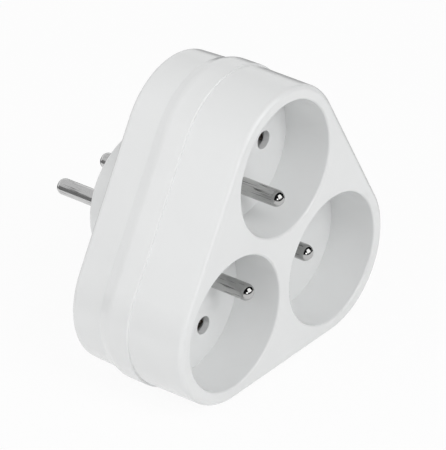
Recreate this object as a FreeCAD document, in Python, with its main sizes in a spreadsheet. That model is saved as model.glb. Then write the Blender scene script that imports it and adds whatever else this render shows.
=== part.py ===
import FreeCAD, Part
import Sketcher
import math
import os

# Three-way plug-in mains adapter. Millimetres. +Z is up, towards the top socket, the sockets face -Y
# and the plug pins point along +Y. The origin is the centre of the plug's end face.
# A depth is the distance from that face towards the sockets, so it runs along -Y.

SIZES = [
    # Sockets, to the dimensions that the plugs need
    ("recess_diameter", 39.4, "round recess of a socket"),
    ("recess_gap", 4.8, "between two recesses where they are nearest"),
    ("recess_depth", 15.0, "front face to recess floor"),
    ("mouth_round", 0.6, "rounding of the recess mouth"),
    ("contact_spacing", 19.0, "between the two contact holes, and between the plug pins"),
    ("contact_hole", 5.4, "diameter of a contact hole"),
    ("earth_offset", 10.0, "earth pin or earth hole to its socket or plug axis"),
    ("pin_diameter", 4.8, "plug pins and earth pins"),
    ("plug_pin_reach", 19.0, "plug pin beyond the plug face"),
    ("earth_pin_reach", 14.0, "earth pin above the recess floor"),
    ("plug_tip_round", 1.7, "rounding of a plug pin's tip"),
    ("earth_tip_round", 2.3, "rounding of an earth pin's tip"),
    # Outer form
    ("body_depth", 53.5, "plug face to front face"),
    ("boss_length", 14.3, "plug boss behind the rear shell"),
    ("boss_diameter", 39.1, "plug boss at its root"),
    ("boss_draft", 0.2, "draft of the plug boss, degrees"),
    ("boss_rim_round", 0.5, "rounding of the plug face's rim"),
    ("boss_root_round", 0.8, "cove at the root of the plug boss"),
    ("corner_shift", 0.48, "outline corner's centre outside the socket axis"),
    ("recess_margin", 3.8, "recess wall to the outline round the same corner"),
    ("skirt_length", 18.0, "front face to the parting plane"),
    ("front_draft", 0.6, "draft of the front shell, degrees"),
    ("front_edge_round", 1.5, "rounding of the front edge"),
    ("band_width", 7.0, "flat of the raised band on the rear shell"),
    ("band_proud", 0.5, "band above the front shell"),
    ("band_round", 0.5, "rounding of the band's front edge"),
    ("cove_length", 3.5, "slope behind the band"),
    ("cove_angle", 19.5, "angle of that slope, degrees"),
    ("cove_round", 5.0, "rounding at the top of the slope"),
    ("cove_foot_round", 1.2, "rounding at the foot of the slope"),
    ("rear_draft", 2.2, "draft of the rear shell, degrees"),
    ("rear_edge_round", 1.5, "rounding of the rear edge"),
    # Walls
    ("front_wall", 2.6, "side wall of the front shell"),
    ("face_thickness", 2.0, "front face between the sockets"),
    ("floor_thickness", 2.0, "socket base, which is the floor of the recesses"),
    ("collar_wall", 2.5, "wall of the collar round a recess"),
    ("spigot_length", 3.6, "front shell inside the rear shell"),
    ("spigot_inset", 1.55, "spigot inside the skirt"),
    ("shell_clearance", 0.1, "between the shells, and between plastic and a bar or contact"),
    ("rear_wall", 1.9, "side wall of the rear shell at its back"),
    ("back_wall", 1.8, "back wall of the rear shell"),
    ("end_wall", 3.0, "end wall of the plug boss"),
    ("boss_wall", 2.4, "side wall of the plug boss"),
    ("hole_clearance", 0.05, "round a pin, tail, rivet or screw in its hole"),
    # Screws
    ("screw_inset", 6.5, "side of the front shell to each screw's axis"),
    ("screw_post", 8.4, "diameter of a post in the rear shell"),
    ("post_height", 6.2, "post above the back wall's inner face"),
    ("pillar", 5.0, "diameter of a pillar under the socket base"),
    ("pillar_shift", 13.0, "pillar outside the socket axis"),
    ("screw_boss", 6.4, "diameter of a boss in the front shell"),
    ("screw_shank", 2.9, "diameter of the screw"),
    ("screw_length", 14.0, "shank of the screw"),
    ("screw_tip", 1.0, "diameter of the blunt tip"),
    ("screw_head", 5.5, "diameter of the screw head"),
    ("head_height", 1.8, "height of the screw head"),
    ("drive_width", 0.9, "slot of the cross drive"),
    ("drive_span", 3.6, "cross drive from end to end"),
    ("drive_depth", 1.0, "depth of the cross drive"),
    ("counterbore", 6.1, "diameter of the sunk screw hole"),
    ("counterbore_depth", 4.2, "depth of the sunk screw hole"),
    # Pins, where they are held
    ("sleeve_wall", 2.0, "wall of the sleeve round a plug pin"),
    ("pin_neck", 4.2, "diameter of a pin inside the plastic"),
    ("pin_flange", 5.8, "diameter of a plug pin's flange, flush with the plug face"),
    ("flange_thickness", 0.8, "thickness of that flange"),
    ("pin_tail", 3.2, "diameter of a pin's tail, through its bar"),
    ("tail_head", 5.0, "diameter of the peened head on a tail"),
    ("tail_head_height", 0.7, "height of the peened head"),
    # Bars and contacts
    ("bar_thickness", 0.6, "live and neutral bars"),
    ("tab_width", 6.8, "tab of a bar, round a plug pin's tail"),
    ("bar_inset", 7.9, "inner edge of a ring-shaped bar inside the socket axis"),
    ("bar_ring_width", 4.0, "width of a ring-shaped bar"),
    ("plate_thickness", 0.8, "insulating plate between the bars"),
    ("plate_overlap", 1.4, "insulating plate beyond the bars"),
    ("clip_thickness", 0.5, "strip of a spring contact"),
    ("clip_width", 5.0, "width of a spring contact"),
    ("clip_base", 7.4, "foot of a spring contact"),
    ("clip_waist", 4.4, "gap where a spring contact grips"),
    ("clip_mouth", 6.4, "gap at a spring contact's mouth"),
    ("clip_lead", 4.0, "mouth to waist of a spring contact"),
    ("clip_gap", 1.2, "spring contact behind the recess floor"),
    ("clip_bend", 0.6, "inner bend of a spring contact's foot"),
    ("cell_wall", 1.0, "wall of the cell round a spring contact, and web of a screw boss"),
    ("cell_clearance", 0.35, "spring contact in its cell"),
    ("cell_depth", 8.0, "cell behind the recess floor"),
    ("barrier_thickness", 1.6, "rib between live and neutral contacts"),
    ("barrier_length", 13.0, "that rib, outwards from the bars"),
    ("rivet_shank", 2.0, "rivet through a spring contact's foot"),
    ("rivet_head", 3.6, "diameter of the rivet head"),
    ("rivet_head_height", 0.4, "height of the rivet head"),
    ("earth_bar_thickness", 0.8, "earth bar"),
    ("earth_arm_width", 6.4, "arm of the earth bar"),
    ("earth_hub", 11.0, "diameter of the earth bar's hub"),
    ("tube_thickness", 0.6, "strip of the plug's earth contact"),
    ("tube_length", 12.0, "gripping length of the plug's earth contact"),
    ("tube_slit", 1.4, "slit along the plug's earth contact"),
    ("earth_hole", 5.6, "earth hole in the plug face"),
    ("riser_width", 5.0, "strip from the earth contact to the earth bar"),
]

# Where a sketch is drawn before its expressions place it
ROUGH = 10.0
# Two points nearer than this are taken as one
SAME_PLACE = 0.01
# Points looked at along an edge to tell where it lies
EDGE_POINTS = 5

# Depths of the main planes, as expressions on the sheet
FRONT = "sizes.body_depth"
FLOOR = "(sizes.body_depth - sizes.recess_depth)"
FLOOR_BACK = "(%s - sizes.floor_thickness)" % FLOOR
PARTING = "(sizes.body_depth - sizes.skirt_length)"
BAND_BACK = "(%s - sizes.band_width)" % PARTING
COVE_BACK = "(%s - sizes.cove_length)" % BAND_BACK
BACK = "sizes.boss_length"
INNER_BACK = "(sizes.boss_length + sizes.back_wall)"
POST_TOP = "(%s + sizes.post_height)" % INNER_BACK
HEAD_SEAT = "(sizes.boss_length + sizes.counterbore_depth)"
LIVE_LEVEL = INNER_BACK
PLATE_LEVEL = "(%s + sizes.bar_thickness)" % LIVE_LEVEL
NEUTRAL_LEVEL = "(%s + sizes.plate_thickness)" % PLATE_LEVEL
EARTH_LEVEL = FLOOR_BACK

# Radii and distances from the body axis that several pieces share
SOCKET_RING = "((sizes.recess_diameter + sizes.recess_gap) / sqrt(3))"
CORNER_RING = "(%s + sizes.corner_shift)" % SOCKET_RING
SKIRT_CORNER = "(sizes.recess_diameter / 2 + sizes.recess_margin)"
SIDE = "(%s / 2 + %s)" % (CORNER_RING, SKIRT_CORNER)
SCREW_RING = "(%s - sizes.screw_inset)" % SIDE
BAND_CORNER = "(%s + sizes.band_proud)" % SKIRT_CORNER
REAR_CORNER = "(%s - sizes.cove_length * tan(sizes.cove_angle))" % BAND_CORNER
BACK_CORNER = "(%s - (%s - %s) * tan(sizes.rear_draft))" % (REAR_CORNER, COVE_BACK, BACK)
SPIGOT_CORNER = "(%s - sizes.spigot_inset)" % SKIRT_CORNER
PIN_RADIUS = "(sizes.pin_diameter / 2)"
EARTH_RING = "(%s - sizes.earth_offset)" % SOCKET_RING
BAR_RING_INNER = "(%s - sizes.bar_inset)" % SOCKET_RING
BAR_RING_OUTER = "(%s + sizes.bar_ring_width)" % BAR_RING_INNER
SLEEVE_BORE = "(sizes.pin_neck / 2 + sizes.hole_clearance)"
SLEEVES_REACH = "(sizes.contact_spacing / 2 + %s + sizes.sleeve_wall)" % SLEEVE_BORE
TUBE_OUTER = "(%s + sizes.tube_thickness)" % PIN_RADIUS


def make_sheet(doc):
    """Writes the driving sizes, one row each: name, value and meaning."""
    sheet = doc.addObject("Spreadsheet::Sheet", "sizes")
    for row, (name, value, meaning) in enumerate(SIZES, start=1):
        sheet.set("A%d" % row, name)
        sheet.set("B%d" % row, str(value))
        sheet.set("C%d" % row, meaning)
        sheet.setAlias("B%d" % row, name)
    doc.recompute()


def value_of(doc, expression):
    """The number that an expression on the sheet comes to."""
    return float(doc.sizes.evalExpression(expression))


def new_body(doc, name):
    body = doc.addObject("PartDesign::Body", name)
    body.Label = name
    return body


def origin_feature(body, role):
    """One of the body's own origin planes or axes."""
    return next(item for item in body.Origin.OriginFeatures if item.Role == role)


def new_sketch(body, name, depth="0", role="XZ_Plane"):
    """A sketch, seen from the front unless a plane is named: its x is X and its y is Z."""
    sketch = body.newObject("Sketcher::SketchObject", name)
    sketch.AttachmentSupport = [(origin_feature(body, role), "")]
    sketch.MapMode = "FlatFace"
    sketch.setExpression("AttachmentOffset.Base.z", depth)
    return sketch


def bind(sketch, kind, *arguments):
    """Adds a constraint whose value is the expression given last."""
    index = sketch.addConstraint(Sketcher.Constraint(kind, *arguments[:-1], ROUGH))
    sketch.setExpression("Constraints[%d]" % index, arguments[-1])


def add_circle(sketch, radius, x="0", z="0"):
    start = Part.Circle(FreeCAD.Vector(ROUGH, ROUGH, 0), FreeCAD.Vector(0, 0, 1), ROUGH)
    circle = sketch.addGeometry(start, False)
    bind(sketch, "DistanceX", -1, 1, circle, 3, x)
    bind(sketch, "DistanceY", -1, 1, circle, 3, z)
    bind(sketch, "Radius", circle, radius)


def add_polygon(sketch, points):
    """A closed run of straight lines through points given as pairs of expressions."""
    first = sketch.GeometryCount
    count = len(points)
    for index in range(count):
        angle = 2 * math.pi * index / count
        turned = 2 * math.pi * (index + 1) / count
        start = FreeCAD.Vector(ROUGH * math.cos(angle), ROUGH * math.sin(angle), 0)
        end = FreeCAD.Vector(ROUGH * math.cos(turned), ROUGH * math.sin(turned), 0)
        sketch.addGeometry(Part.LineSegment(start, end), False)
    for index in range(count):
        line = first + index
        following = first + (index + 1) % count
        sketch.addConstraint(Sketcher.Constraint("Coincident", line, 2, following, 1))
    for index, (x, z) in enumerate(points):
        bind(sketch, "DistanceX", -1, 1, first + index, 1, x)
        bind(sketch, "DistanceY", -1, 1, first + index, 1, z)


def add_rectangle(sketch, left, low, right, high):
    add_polygon(sketch, [(left, low), (right, low), (right, high), (left, high)])


def add_outline(sketch, corner):
    """The rounded triangle of the body: three equal arcs and the tangents between them."""
    radius = value_of(sketch.Document, SKIRT_CORNER)
    ring = value_of(sketch.Document, CORNER_RING)
    for index in range(3):
        angle = math.radians(90 + 120 * index)
        centre = FreeCAD.Vector(ring * math.cos(angle), ring * math.sin(angle), 0)
        circle = Part.Circle(centre, FreeCAD.Vector(0, 0, 1), radius)
        arc = Part.ArcOfCircle(circle, angle - math.pi / 3, angle + math.pi / 3)
        sketch.addGeometry(arc, False)
    for index in range(3):
        arc = sketch.Geometry[index]
        following = sketch.Geometry[(index + 1) % 3]
        sketch.addGeometry(Part.LineSegment(arc.EndPoint, following.StartPoint), False)
    for index in range(3):
        sketch.addConstraint(Sketcher.Constraint("Tangent", index, 2, 3 + index, 1))
        sketch.addConstraint(Sketcher.Constraint("Tangent", 3 + index, 2, (index + 1) % 3, 1))
    for index in range(2):
        sketch.addConstraint(Sketcher.Constraint("Equal", 0, index + 1))
    bind(sketch, "Radius", 0, corner)
    for index in range(3):
        angle = 90 + 120 * index
        bind(sketch, "DistanceX", -1, 1, index, 3, "%s * cos(%d)" % (CORNER_RING, angle))
        bind(sketch, "DistanceY", -1, 1, index, 3, "%s * sin(%d)" % (CORNER_RING, angle))


def add_feature(body, kind, name, sketch, length, towards_sockets=True, draft=None):
    """A pad or a pocket of a sketch, towards the sockets or towards the plug."""
    feature = body.newObject("PartDesign::" + kind, name)
    feature.Profile = sketch
    feature.setExpression("Length", length)
    # A pocket runs against its sketch's normal unless it is reversed, a pad along it
    feature.Reversed = towards_sockets == (kind == "Pocket")
    if draft:
        feature.setExpression("TaperAngle", draft)
    return feature


def add_pattern(body, name, features):
    """Repeats features for the three sockets."""
    pattern = body.newObject("PartDesign::PolarPattern", name)
    pattern.Originals = features
    pattern.Axis = (origin_feature(body, "Y_Axis"), [""])
    pattern.Angle = 360
    pattern.Occurrences = 3
    body.Tip = pattern
    return pattern


def edges_at(shape, depth, smallest=0.0, largest=math.inf):
    """Names of the edges that lie at a depth, between two distances from the body axis."""
    names = []
    for index, edge in enumerate(shape.Edges, start=1):
        points = edge.discretize(EDGE_POINTS)
        level = all(abs(point.y + depth) < SAME_PLACE for point in points)
        reach = [math.hypot(point.x, point.z) for point in points]
        if level and min(reach) >= smallest and max(reach) <= largest:
            names.append("Edge%d" % index)
    return names


def round_edges(body, name, radius, names):
    """A fillet on named edges of the body's last feature."""
    base = body.Tip
    fillet = body.newObject("PartDesign::Fillet", name)
    fillet.Base = (base, names)
    fillet.setExpression("Radius", radius)
    return fillet


def turn(body, name, profile, x="0", z="0"):
    """A turned form: (depth, radius) pairs round an axis along Y, at x and z."""
    sketch = new_sketch(body, name + "_profile", x, "YZ_Plane")
    sketch.setExpression("AttachmentOffset.Base.y", z)
    add_polygon(sketch, [("-(%s)" % depth, radius) for depth, radius in profile])
    revolution = body.newObject("PartDesign::Revolution", name)
    revolution.Profile = sketch
    revolution.ReferenceAxis = (sketch, ["H_Axis"])
    revolution.Angle = 360
    return revolution


def make_front_shell(doc):
    """Moulded front shell: face, skirt, three round collars and the screw bosses."""
    body = new_body(doc, "front_shell")
    block = new_sketch(body, "skirt_outline", PARTING)
    add_outline(block, SKIRT_CORNER)
    add_feature(body, "Pad", "skirt", block, "sizes.skirt_length", draft="-sizes.front_draft")
    doc.recompute()
    front = value_of(doc, FRONT)
    round_edges(body, "front_edge", "sizes.front_edge_round", edges_at(body.Shape, front))

    spigot = new_sketch(body, "spigot_outline", PARTING)
    add_outline(spigot, SPIGOT_CORNER)
    add_feature(body, "Pad", "spigot", spigot, "sizes.spigot_length", towards_sockets=False)
    inside = new_sketch(body, "inside_outline", "%s - sizes.spigot_length" % PARTING)
    add_outline(inside, "%s - sizes.front_wall" % SKIRT_CORNER)
    depth = "sizes.spigot_length + sizes.skirt_length - sizes.face_thickness"
    add_feature(body, "Pocket", "inside", inside, depth)

    collar = new_sketch(body, "collar_circle", FLOOR)
    add_circle(collar, "sizes.recess_diameter / 2 + sizes.collar_wall", z=SOCKET_RING)
    length = "sizes.recess_depth - sizes.face_thickness / 2"
    add_pattern(body, "collars", [add_feature(body, "Pad", "collar", collar, length)])
    recess = new_sketch(body, "recess_circle", FRONT)
    add_circle(recess, "sizes.recess_diameter / 2", z=SOCKET_RING)
    cut = add_feature(body, "Pocket", "recess", recess, "sizes.recess_depth", towards_sockets=False)
    add_pattern(body, "recesses", [cut])
    doc.recompute()
    rim = value_of(doc, "%s + sizes.recess_diameter / 2" % SOCKET_RING) + SAME_PLACE
    round_edges(body, "mouths", "sizes.mouth_round", edges_at(body.Shape, front, largest=rim))

    boss = new_sketch(body, "boss_circle", "%s + sizes.shell_clearance" % POST_TOP)
    add_circle(boss, "sizes.screw_boss / 2", z="-" + SCREW_RING)
    length = "%s - sizes.face_thickness / 2 - %s - sizes.shell_clearance" % (FRONT, POST_TOP)
    post = add_feature(body, "Pad", "screw_boss", boss, length)
    web = new_sketch(body, "boss_web_outline", PARTING)
    wall = "-(%s - sizes.front_wall / 2)" % SIDE
    add_rectangle(web, "-sizes.cell_wall / 2", wall, "sizes.cell_wall / 2", "-" + SCREW_RING)
    length = "sizes.skirt_length - sizes.face_thickness / 2"
    web_pad = add_feature(body, "Pad", "boss_web", web, length)
    add_pattern(body, "screw_bosses", [post, web_pad])
    pilot = new_sketch(body, "pilot_circle", "%s + sizes.shell_clearance" % POST_TOP)
    add_circle(pilot, "sizes.screw_shank / 2 + sizes.hole_clearance", z="-" + SCREW_RING)
    add_pattern(body, "pilots", [add_feature(body, "Pocket", "pilot", pilot, "sizes.screw_length")])
    return body


def make_socket_base(doc):
    """Moulded base behind the collars: the recess floors, contact cells and ribs."""
    body = new_body(doc, "socket_base")
    plate = new_sketch(body, "base_outline", FLOOR_BACK)
    add_outline(plate, "%s - sizes.front_wall - sizes.shell_clearance" % SKIRT_CORNER)
    add_feature(body, "Pad", "base_plate", plate, "sizes.floor_thickness")
    round_notch = new_sketch(body, "round_notch_circle", FLOOR_BACK)
    notch = "(sizes.screw_boss / 2 + sizes.shell_clearance)"
    add_circle(round_notch, notch, z="-" + SCREW_RING)
    straight_notch = new_sketch(body, "straight_notch_outline", FLOOR_BACK)
    add_rectangle(straight_notch, "-" + notch, "-" + SIDE, notch, "-" + SCREW_RING)
    notches = []
    for name, sketch in (("round_notch", round_notch), ("straight_notch", straight_notch)):
        notches.append(add_feature(body, "Pocket", name, sketch, "sizes.floor_thickness"))
    add_pattern(body, "notches", notches)
    holes = new_sketch(body, "floor_holes", FLOOR)
    add_circle(holes, "sizes.contact_hole / 2", "sizes.contact_spacing / 2", SOCKET_RING)
    add_circle(holes, "sizes.contact_hole / 2", "-sizes.contact_spacing / 2", SOCKET_RING)
    add_circle(holes, "sizes.pin_neck / 2 + sizes.hole_clearance", z=EARTH_RING)
    cut = add_feature(body, "Pocket", "floor_hole", holes, "sizes.floor_thickness", False)
    add_pattern(body, "floor_holes_all", [cut])
    cell = new_sketch(body, "cell_outlines", "%s - sizes.cell_depth" % FLOOR_BACK)
    for side in ("", "-"):
        for extra in ("sizes.cell_clearance", "sizes.cell_clearance + sizes.cell_wall"):
            add_contact_box(cell, side, extra)
    cells = add_feature(body, "Pad", "cell", cell, "sizes.cell_depth")
    start = "%s + sizes.bar_thickness + sizes.shell_clearance" % NEUTRAL_LEVEL
    barrier = new_sketch(body, "barrier_outline", start)
    high = "%s + sizes.barrier_length" % BAR_RING_OUTER
    half = "sizes.barrier_thickness / 2"
    add_rectangle(barrier, "-" + half, BAR_RING_OUTER, half, high)
    rib = add_feature(body, "Pad", "barrier", barrier, "%s - (%s)" % (FLOOR_BACK, start))
    add_pattern(body, "cells_and_barriers", [cells, rib])
    return body


def add_contact_box(sketch, side, extra):
    """A rectangle round the top socket's contact on one side, larger than it by extra all round."""
    centre = "%ssizes.contact_spacing / 2" % side
    across = "(sizes.clip_base / 2 + %s)" % extra
    along = "(sizes.clip_width / 2 + %s)" % extra
    low = "%s - %s" % (SOCKET_RING, along)
    high = "%s + %s" % (SOCKET_RING, along)
    add_rectangle(sketch, "%s - %s" % (centre, across), low, "%s + %s" % (centre, across), high)


def make_rear_shell(doc):
    """Moulded rear shell: raised band, tapered wall, back wall, plug boss and what stands inside."""
    body = new_body(doc, "rear_shell")
    band = new_sketch(body, "band_outline", BAND_BACK)
    add_outline(band, BAND_CORNER)
    add_feature(body, "Pad", "band", band, "sizes.band_width")
    slope = new_sketch(body, "slope_outline", BAND_BACK)
    add_outline(slope, BAND_CORNER)
    add_feature(body, "Pad", "slope", slope, "sizes.cove_length", False, "-sizes.cove_angle")
    wall = new_sketch(body, "wall_outline", COVE_BACK)
    add_outline(wall, REAR_CORNER)
    length = "%s - %s" % (COVE_BACK, BACK)
    add_feature(body, "Pad", "wall", wall, length, False, "-sizes.rear_draft")
    boss = new_sketch(body, "plug_boss_circle", BACK)
    add_circle(boss, "sizes.boss_diameter / 2")
    add_feature(body, "Pad", "plug_boss", boss, "sizes.boss_length", False, "-sizes.boss_draft")
    doc.recompute()
    round_rear_edges(doc, body)
    hollow_rear_shell(body)
    add_sleeves(body)
    add_posts(body)
    return body


def round_rear_edges(doc, body):
    """Fillets along the outside of the rear shell, from the band to the plug face."""
    root = value_of(doc, "sizes.boss_diameter / 2") + SAME_PLACE
    rounds = [
        ("band_edge", "sizes.band_round", PARTING, 0.0, math.inf),
        ("slope_top", "sizes.cove_round", BAND_BACK, 0.0, math.inf),
        ("slope_foot", "sizes.cove_foot_round", COVE_BACK, 0.0, math.inf),
        ("rear_edge", "sizes.rear_edge_round", BACK, root, math.inf),
        ("boss_root", "sizes.boss_root_round", BACK, 0.0, root),
        ("boss_rim", "sizes.boss_rim_round", "0", 0.0, math.inf),
    ]
    for name, radius, depth, smallest, largest in rounds:
        names = edges_at(body.Shape, value_of(doc, depth), smallest, largest)
        round_edges(body, name, radius, names)
        doc.recompute()


def hollow_rear_shell(body):
    """The seat of the spigot, the room for the bars and the hollow of the plug boss."""
    inside = new_sketch(body, "room_outline", PARTING)
    add_outline(inside, "%s - sizes.rear_wall" % BACK_CORNER)
    add_feature(body, "Pocket", "room", inside, "%s - %s" % (PARTING, INNER_BACK), False)
    seat = new_sketch(body, "seat_outline", PARTING)
    add_outline(seat, "%s + sizes.shell_clearance" % SPIGOT_CORNER)
    add_feature(body, "Pocket", "seat", seat, "sizes.spigot_length + sizes.shell_clearance", False)
    hollow = new_sketch(body, "boss_hollow_circle", INNER_BACK)
    add_circle(hollow, "sizes.boss_diameter / 2 - sizes.boss_wall")
    add_feature(body, "Pocket", "boss_hollow", hollow, "%s - sizes.end_wall" % INNER_BACK, False)


def add_sleeves(body):
    """Sleeves that hold the plug pins and the plug's earth contact, and their holes."""
    tube_bore = "%s + sizes.hole_clearance" % TUBE_OUTER
    earth_top = "sizes.end_wall + sizes.tube_length - sizes.tube_thickness"
    half = "sizes.contact_spacing / 2"
    sleeves = [
        ("live_sleeve", half, "0", SLEEVE_BORE, LIVE_LEVEL),
        ("neutral_sleeve", "-" + half, "0", SLEEVE_BORE, NEUTRAL_LEVEL),
        ("earth_sleeve", "0", "sizes.earth_offset", tube_bore, earth_top),
    ]
    for name, x, z, radius, top in sleeves:
        outer = new_sketch(body, name + "_circle", "sizes.end_wall / 2")
        add_circle(outer, "%s + sizes.sleeve_wall" % radius, x, z)
        add_feature(body, "Pad", name, outer, "%s - sizes.end_wall / 2" % top)
    for name, x, z, radius, top in sleeves:
        start = "sizes.end_wall" if name == "earth_sleeve" else "0"
        inner = new_sketch(body, name + "_bore_circle", start)
        add_circle(inner, radius, x, z)
        add_feature(body, "Pocket", name + "_bore", inner, "%s - %s" % (top, start))
    seats = new_sketch(body, "flange_seat_circles", "0")
    for x in (half, "-" + half):
        add_circle(seats, "sizes.pin_flange / 2 + sizes.hole_clearance", x)
    add_feature(body, "Pocket", "flange_seats", seats, "sizes.flange_thickness")
    mouth = new_sketch(body, "earth_hole_circle", "0")
    add_circle(mouth, "sizes.earth_hole / 2", z="sizes.earth_offset")
    add_feature(body, "Pocket", "earth_hole", mouth, "sizes.end_wall")


def add_posts(body):
    """Screw posts with their sunk holes, rests under the neutral contacts and pillars under the base."""
    post = new_sketch(body, "post_circle", "%s - sizes.back_wall / 2" % INNER_BACK)
    add_circle(post, "sizes.screw_post / 2", z="-" + SCREW_RING)
    raised = add_feature(body, "Pad", "post", post, "sizes.post_height + sizes.back_wall / 2")
    rest = new_sketch(body, "rest_circle", "%s - sizes.back_wall / 2" % INNER_BACK)
    add_circle(rest, "sizes.clip_width / 2", "-sizes.contact_spacing / 2", SOCKET_RING)
    length = "%s - %s + sizes.back_wall / 2" % (NEUTRAL_LEVEL, INNER_BACK)
    under = add_feature(body, "Pad", "rest", rest, length)
    stand = new_sketch(body, "pillar_circle", "%s - sizes.back_wall / 2" % INNER_BACK)
    add_circle(stand, "sizes.pillar / 2", z="%s + sizes.pillar_shift" % SOCKET_RING)
    length = "%s - %s + sizes.back_wall / 2" % (FLOOR_BACK, INNER_BACK)
    pillar = add_feature(body, "Pad", "pillar", stand, length)
    add_pattern(body, "posts_rests_and_pillars", [raised, under, pillar])
    sunk = new_sketch(body, "counterbore_circle", BACK)
    add_circle(sunk, "sizes.counterbore / 2", z="-" + SCREW_RING)
    wide = add_feature(body, "Pocket", "sunk_hole", sunk, "sizes.counterbore_depth")
    hole = new_sketch(body, "screw_hole_circle", HEAD_SEAT)
    add_circle(hole, "sizes.screw_shank / 2 + sizes.hole_clearance", z="-" + SCREW_RING)
    narrow = add_feature(body, "Pocket", "screw_hole", hole, "%s - %s" % (POST_TOP, HEAD_SEAT))
    add_pattern(body, "screw_holes", [wide, narrow])


def pin_profile(tip, seat, bar_start, bar_end, head_end):
    """A pin from its tip to its peened head, as (depth, radius) pairs; its shoulder rests on the seat."""
    neck = "sizes.pin_neck / 2"
    tail = "sizes.pin_tail / 2"
    head = "sizes.tail_head / 2"
    return [
        (tip, "0"), (tip, PIN_RADIUS), (seat, PIN_RADIUS), (seat, neck),
        (bar_start, neck), (bar_start, tail), (bar_end, tail), (bar_end, head),
        (head_end, head), (head_end, "0"),
    ]


def make_plug_pin(doc, name, side, level):
    """A turned plug pin: domed tip, flange sunk in the plug face and a tail peened over its bar."""
    body = new_body(doc, name)
    tip = "-sizes.plug_pin_reach"
    bar_end = "%s + sizes.bar_thickness" % level
    head_end = "%s + sizes.tail_head_height" % bar_end
    seat = "sizes.flange_thickness"
    profile = pin_profile(tip, seat, level, bar_end, head_end)
    flange = "sizes.pin_flange / 2"
    # The flange widens the pin between the plug face and its seat
    profile[2:3] = [("0", PIN_RADIUS), ("0", flange), (seat, flange)]
    turn(body, name + "_form", profile)
    doc.recompute()
    end = edges_at(body.Shape, value_of(doc, tip))
    round_edges(body, name + "_tip", "sizes.plug_tip_round", end)
    body.setExpression("Placement.Base.x", "%ssizes.contact_spacing / 2" % side)
    return body


def make_earth_pin(doc, name, angle):
    """A turned earth pin: domed tip, shoulder on the socket base and a tail peened over the earth bar."""
    body = new_body(doc, name)
    tip = "%s + sizes.earth_pin_reach" % FLOOR
    bar_end = "%s - sizes.earth_bar_thickness" % EARTH_LEVEL
    head_end = "%s - sizes.tail_head_height" % bar_end
    turn(body, name + "_form", pin_profile(tip, FLOOR, EARTH_LEVEL, bar_end, head_end))
    doc.recompute()
    end = edges_at(body.Shape, value_of(doc, tip))
    round_edges(body, name + "_tip", "sizes.earth_tip_round", end)
    body.setExpression("Placement.Base.x", "-%s * sin(%d)" % (EARTH_RING, angle))
    body.setExpression("Placement.Base.z", "%s * cos(%d)" % (EARTH_RING, angle))
    return body


def make_bar(doc, name, side, level):
    """A stamped ring-shaped bar, open for a third of its round, with three ears and a tab.

    The neutral bar is the live bar turned over, so side mirrors it.
    """
    body = new_body(doc, name)
    thick = "sizes.bar_thickness"
    ring = new_sketch(body, name + "_ring_circles", level)
    add_circle(ring, BAR_RING_OUTER)
    add_circle(ring, BAR_RING_INNER)
    add_feature(body, "Pad", name + "_ring", ring, thick)
    half = "sizes.contact_spacing / 2"
    lean = "atan(%s / %s)" % (half, SOCKET_RING)
    wedge = new_sketch(body, name + "_gap_outline", level)
    points = [("0", "0")]
    # Twice the outer radius, so that the wedge's straight far sides still clear the ring
    reach = "2 * %s" % BAR_RING_OUTER
    for angle in (210, 270, 330):
        points.append((
            "%s(%s * cos(%d deg - %s))" % (side, reach, angle, lean),
            "%s * sin(%d deg - %s)" % (reach, angle, lean),
        ))
    add_polygon(wedge, points)
    add_feature(body, "Pocket", name + "_gap", wedge, thick)

    ear = new_sketch(body, name + "_ear_outline", level)
    near = "(%s - sizes.clip_base / 2)" % half
    far = "(%s + sizes.clip_base / 2)" % half
    # Just outside the ring's inner edge where the ear is nearest to it
    low = "sqrt(%s^2 - %s^2) + %s / 2" % (BAR_RING_INNER, near, thick)
    high = "%s + sizes.clip_width / 2" % SOCKET_RING
    add_rectangle(ear, side + near, low, side + far, high)
    add_pattern(body, name + "_ears", [add_feature(body, "Pad", name + "_ear", ear, thick)])
    tab = new_sketch(body, name + "_tab_outline", level)
    inner = "%s%s" % (side, half)
    outer = "%s(%s + sizes.bar_ring_width / 2)" % (side, BAR_RING_INNER)
    add_rectangle(tab, inner, "-sizes.tab_width / 2", outer, "sizes.tab_width / 2")
    add_feature(body, "Pad", name + "_tab", tab, thick)
    end = new_sketch(body, name + "_tab_end_circle", level)
    add_circle(end, "sizes.tab_width / 2", inner)
    add_feature(body, "Pad", name + "_tab_end", end, thick)
    tail = new_sketch(body, name + "_tail_circle", level)
    add_circle(tail, "sizes.pin_tail / 2 + sizes.hole_clearance", inner)
    add_feature(body, "Pocket", name + "_tail_hole", tail, thick)
    rivet = new_sketch(body, name + "_rivet_circle", level)
    add_circle(rivet, "sizes.rivet_shank / 2 + sizes.hole_clearance", inner, SOCKET_RING)
    hole = add_feature(body, "Pocket", name + "_rivet_hole", rivet, thick)
    add_pattern(body, name + "_rivet_holes", [hole])
    return body


def make_insulating_plate(doc):
    """A fibre washer between the live and the neutral bar, round the sleeves of the plug pins."""
    body = new_body(doc, "insulating_plate")
    plate = new_sketch(body, "plate_circles", PLATE_LEVEL)
    add_circle(plate, "%s + sizes.plate_overlap" % BAR_RING_OUTER)
    add_circle(plate, "%s + sizes.shell_clearance" % SLEEVES_REACH)
    add_feature(body, "Pad", "plate", plate, "sizes.plate_thickness")
    return body


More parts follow.
